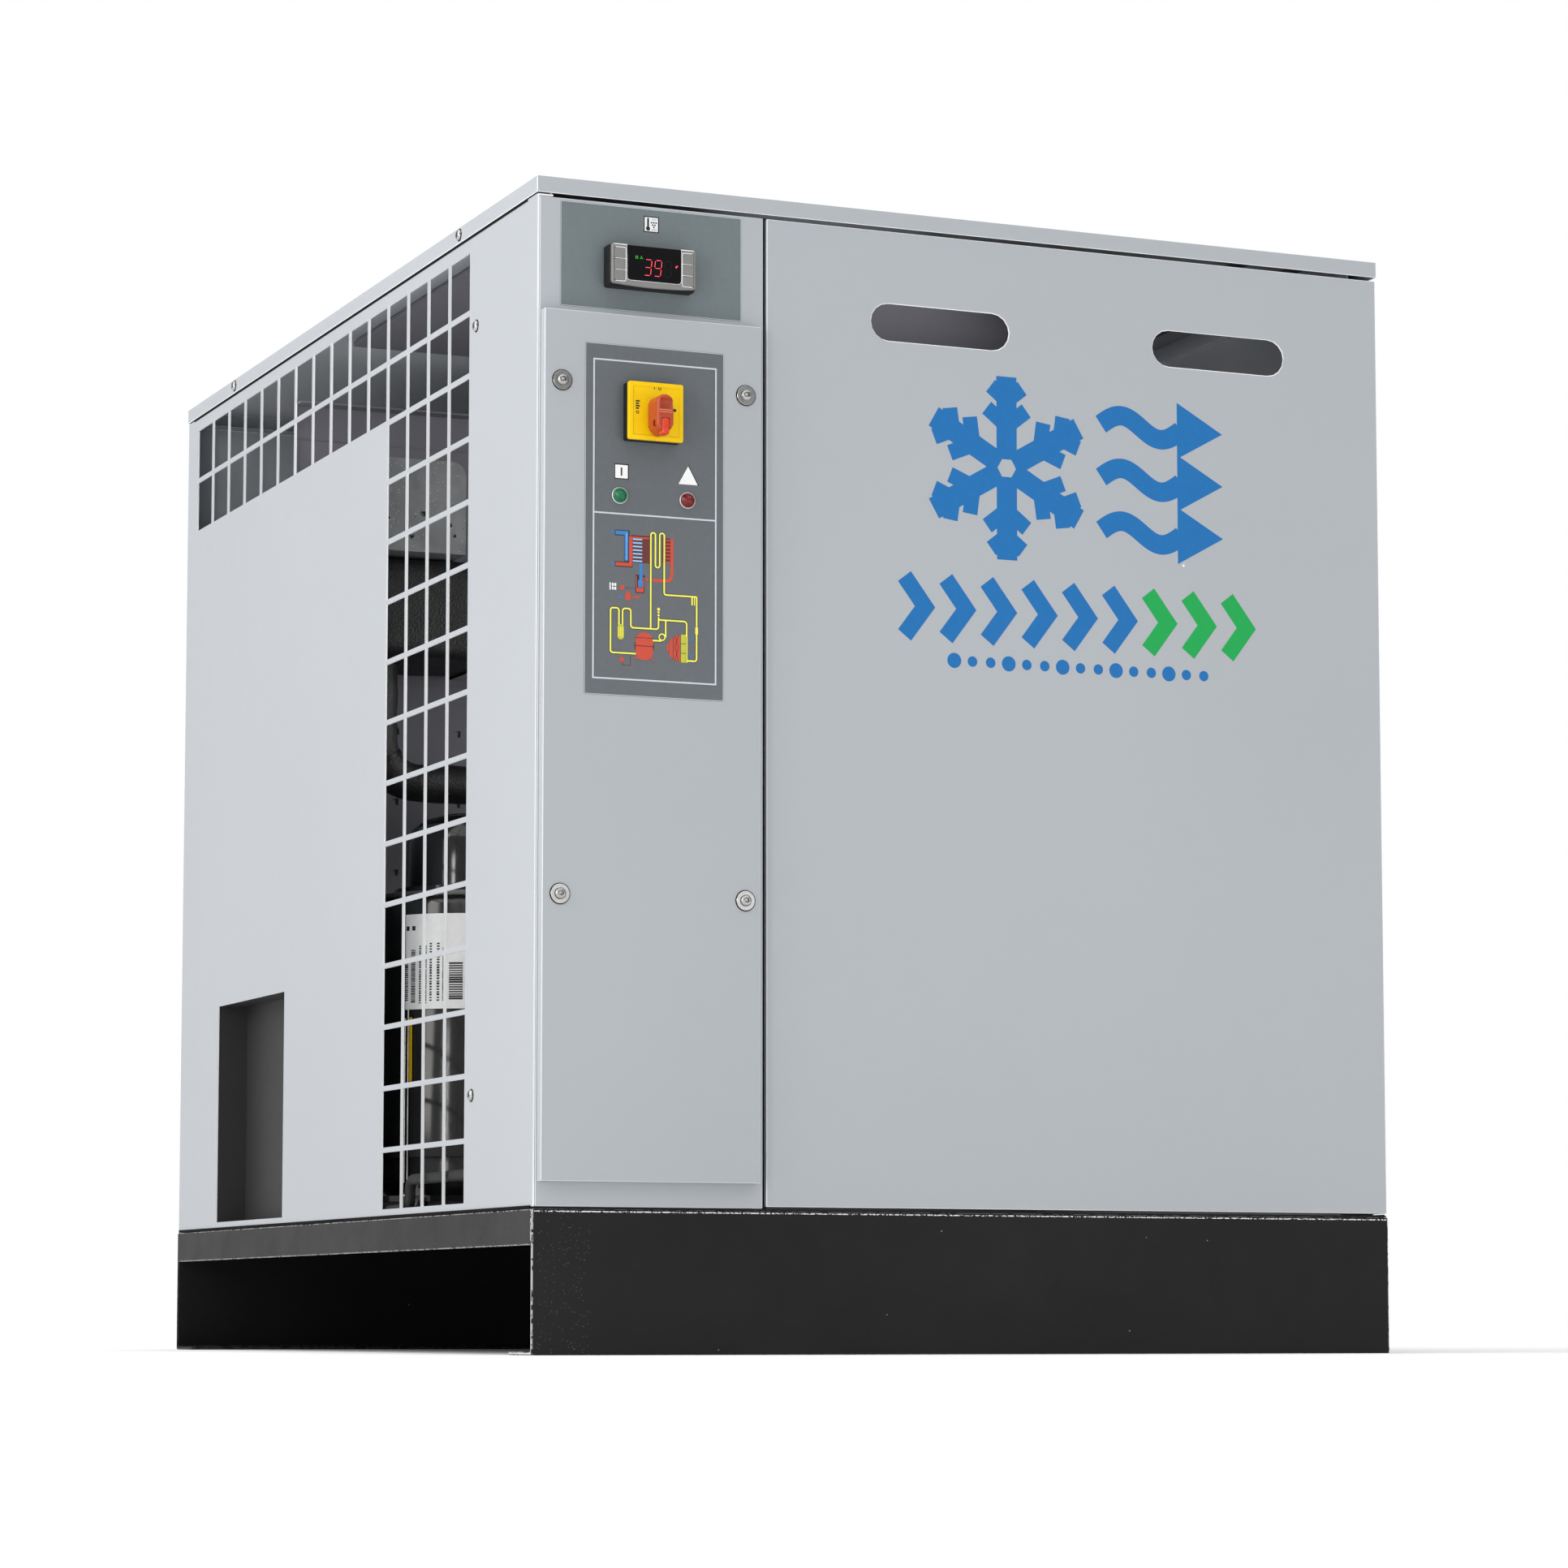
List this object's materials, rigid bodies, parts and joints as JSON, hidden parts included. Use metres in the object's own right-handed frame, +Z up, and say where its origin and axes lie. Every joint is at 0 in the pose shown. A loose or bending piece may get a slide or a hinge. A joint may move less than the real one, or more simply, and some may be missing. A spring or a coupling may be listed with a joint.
{
  "type": "refrigerated air dryer",
  "caption": "Floor-standing refrigerated compressed-air dryer: grey sheet-metal cabinet with punched air grilles and a control column, on a black fork-lift base.",
  "frame": {"origin": "middle of the footprint, on the floor", "axes": "+Z up, the front faces -Y, +X is to the right as seen from the front"},
  "size_m": [0.796, 1.14, 0.962],
  "materials": {
    "grey_paint": "light grey textured powder coat",
    "black_paint": "black textured powder coat",
    "dark_sheet": "dark grey primed sheet, matt",
    "galvanised": "galvanised sheet with spangle",
    "steel": "zinc-plated steel",
    "aluminium": "plain fins, satin",
    "copper": "bare copper tube",
    "brass": "bare brass",
    "black_plastic": "moulded, fine texture",
    "grey_plastic": "moulded, satin silver grey",
    "key_rubber": "satin silicone key",
    "yellow_plastic": "moulded, semi-gloss",
    "orange_plastic": "moulded, semi-gloss",
    "red_plastic": "moulded, semi-gloss",
    "green_lens": "clear tinted lens",
    "red_lens": "clear tinted lens",
    "dark_window": "smoked clear window",
    "foam": "closed-cell insulation foam, matt",
    "black_enamel": "gloss black enamel"
  },
  "bodies": {
    "cabinet": {"base_front_beam": "black_paint", "base_rear_beam": "black_paint", "base_left_rail": "black_paint", "base_right_rail": "black_paint", "base_pan": "black_paint", "left_side_panel": "grey_paint", "right_side_panel": "grey_paint", "rear_panel": "grey_paint", "lid": "grey_paint", "control_column": "grey_paint", "control_cover": "grey_paint", "front_frame": "dark_sheet", "bulkhead": "dark_sheet", "service_recess": "dark_sheet", "electrical_box": "galvanised", "exchanger_bracket": "galvanised", "controller_body": "grey_plastic", "controller_window": "dark_window", "switch_plate": "yellow_plastic", "switch_body": "black_plastic", "green_lamp": "green_lens", "red_lamp": "red_lens", "compressor": "black_enamel", "terminal_box": "black_plastic", "condenser": "aluminium", "fan_shroud": "black_paint", "fan_motor": "black_plastic", "heat_exchanger": "foam", "moisture_separator": "black_enamel", "drain_pipe": "black_plastic", "drain_valve": "brass", "cable_gland": "black_plastic", "air_inlet_pipe": "galvanised", "air_outlet_pipe": "galvanised", "suction_pipe": "foam", "discharge_pipe": "copper", "liquid_pipe": "copper", "liquid_receiver": "black_enamel", "filter_dryer": "black_enamel", "cover_screw_1": "steel", "cover_screw_2": "steel", "cover_screw_3": "steel", "cover_screw_4": "steel", "lid_screw_left_front": "steel", "lid_screw_left_rear": "steel", "lid_screw_right_front": "steel", "lid_screw_right_rear": "steel", "side_screw_lower": "steel", "side_screw_upper": "steel"},
    "front_panel": {"front_panel": "grey_paint"},
    "switch_knob": {"switch_knob": "orange_plastic"},
    "lock_tab": {"lock_tab": "red_plastic"},
    "fan": {"fan_blades": "black_plastic"},
    "drain_lever": {"drain_lever": "red_plastic"},
    "key_1": {"key_1": "key_rubber"},
    "key_2": {"key_2": "key_rubber"},
    "key_3": {"key_3": "key_rubber"},
    "key_4": {"key_4": "key_rubber"},
    "key_5": {"key_5": "key_rubber"},
    "key_6": {"key_6": "key_rubber"}
  },
  "joints": [
    {"name": "front_panel_pull", "type": "slide", "parent": "cabinet", "child": "front_panel", "axis": [0, -1, 0], "range_m": [0, 0.3]},
    {"name": "switch_turn", "type": "hinge", "parent": "cabinet", "child": "switch_knob", "pos_m": [-0.2985, -0.55, 0.7685], "axis": [0, -1, 0], "range_deg": [0, 90]},
    {"name": "lock_tab_pull", "type": "slide", "parent": "switch_knob", "child": "lock_tab", "axis": [0, -1, 0], "range_m": [0, 0.006]},
    {"name": "fan_spin", "type": "hinge", "parent": "cabinet", "child": "fan", "pos_m": [0.32, -0.16, 0.46], "axis": [1, 0, 0], "continuous": true},
    {"name": "drain_lever_turn", "type": "hinge", "parent": "cabinet", "child": "drain_lever", "pos_m": [0, 0.543, 0.24], "axis": [0, 0, 1], "range_deg": [0, 90]},
    {"name": "key_1_press", "type": "slide", "parent": "cabinet", "child": "key_1", "axis": [0, 1, 0], "range_m": [0, 0.0008], "stiffness_N_per_m": 600},
    {"name": "key_2_press", "type": "slide", "parent": "cabinet", "child": "key_2", "axis": [0, 1, 0], "range_m": [0, 0.0008], "stiffness_N_per_m": 600},
    {"name": "key_3_press", "type": "slide", "parent": "cabinet", "child": "key_3", "axis": [0, 1, 0], "range_m": [0, 0.0008], "stiffness_N_per_m": 600},
    {"name": "key_4_press", "type": "slide", "parent": "cabinet", "child": "key_4", "axis": [0, 1, 0], "range_m": [0, 0.0008], "stiffness_N_per_m": 600},
    {"name": "key_5_press", "type": "slide", "parent": "cabinet", "child": "key_5", "axis": [0, 1, 0], "range_m": [0, 0.0008], "stiffness_N_per_m": 600},
    {"name": "key_6_press", "type": "slide", "parent": "cabinet", "child": "key_6", "axis": [0, 1, 0], "range_m": [0, 0.0008], "stiffness_N_per_m": 600}
  ]
}
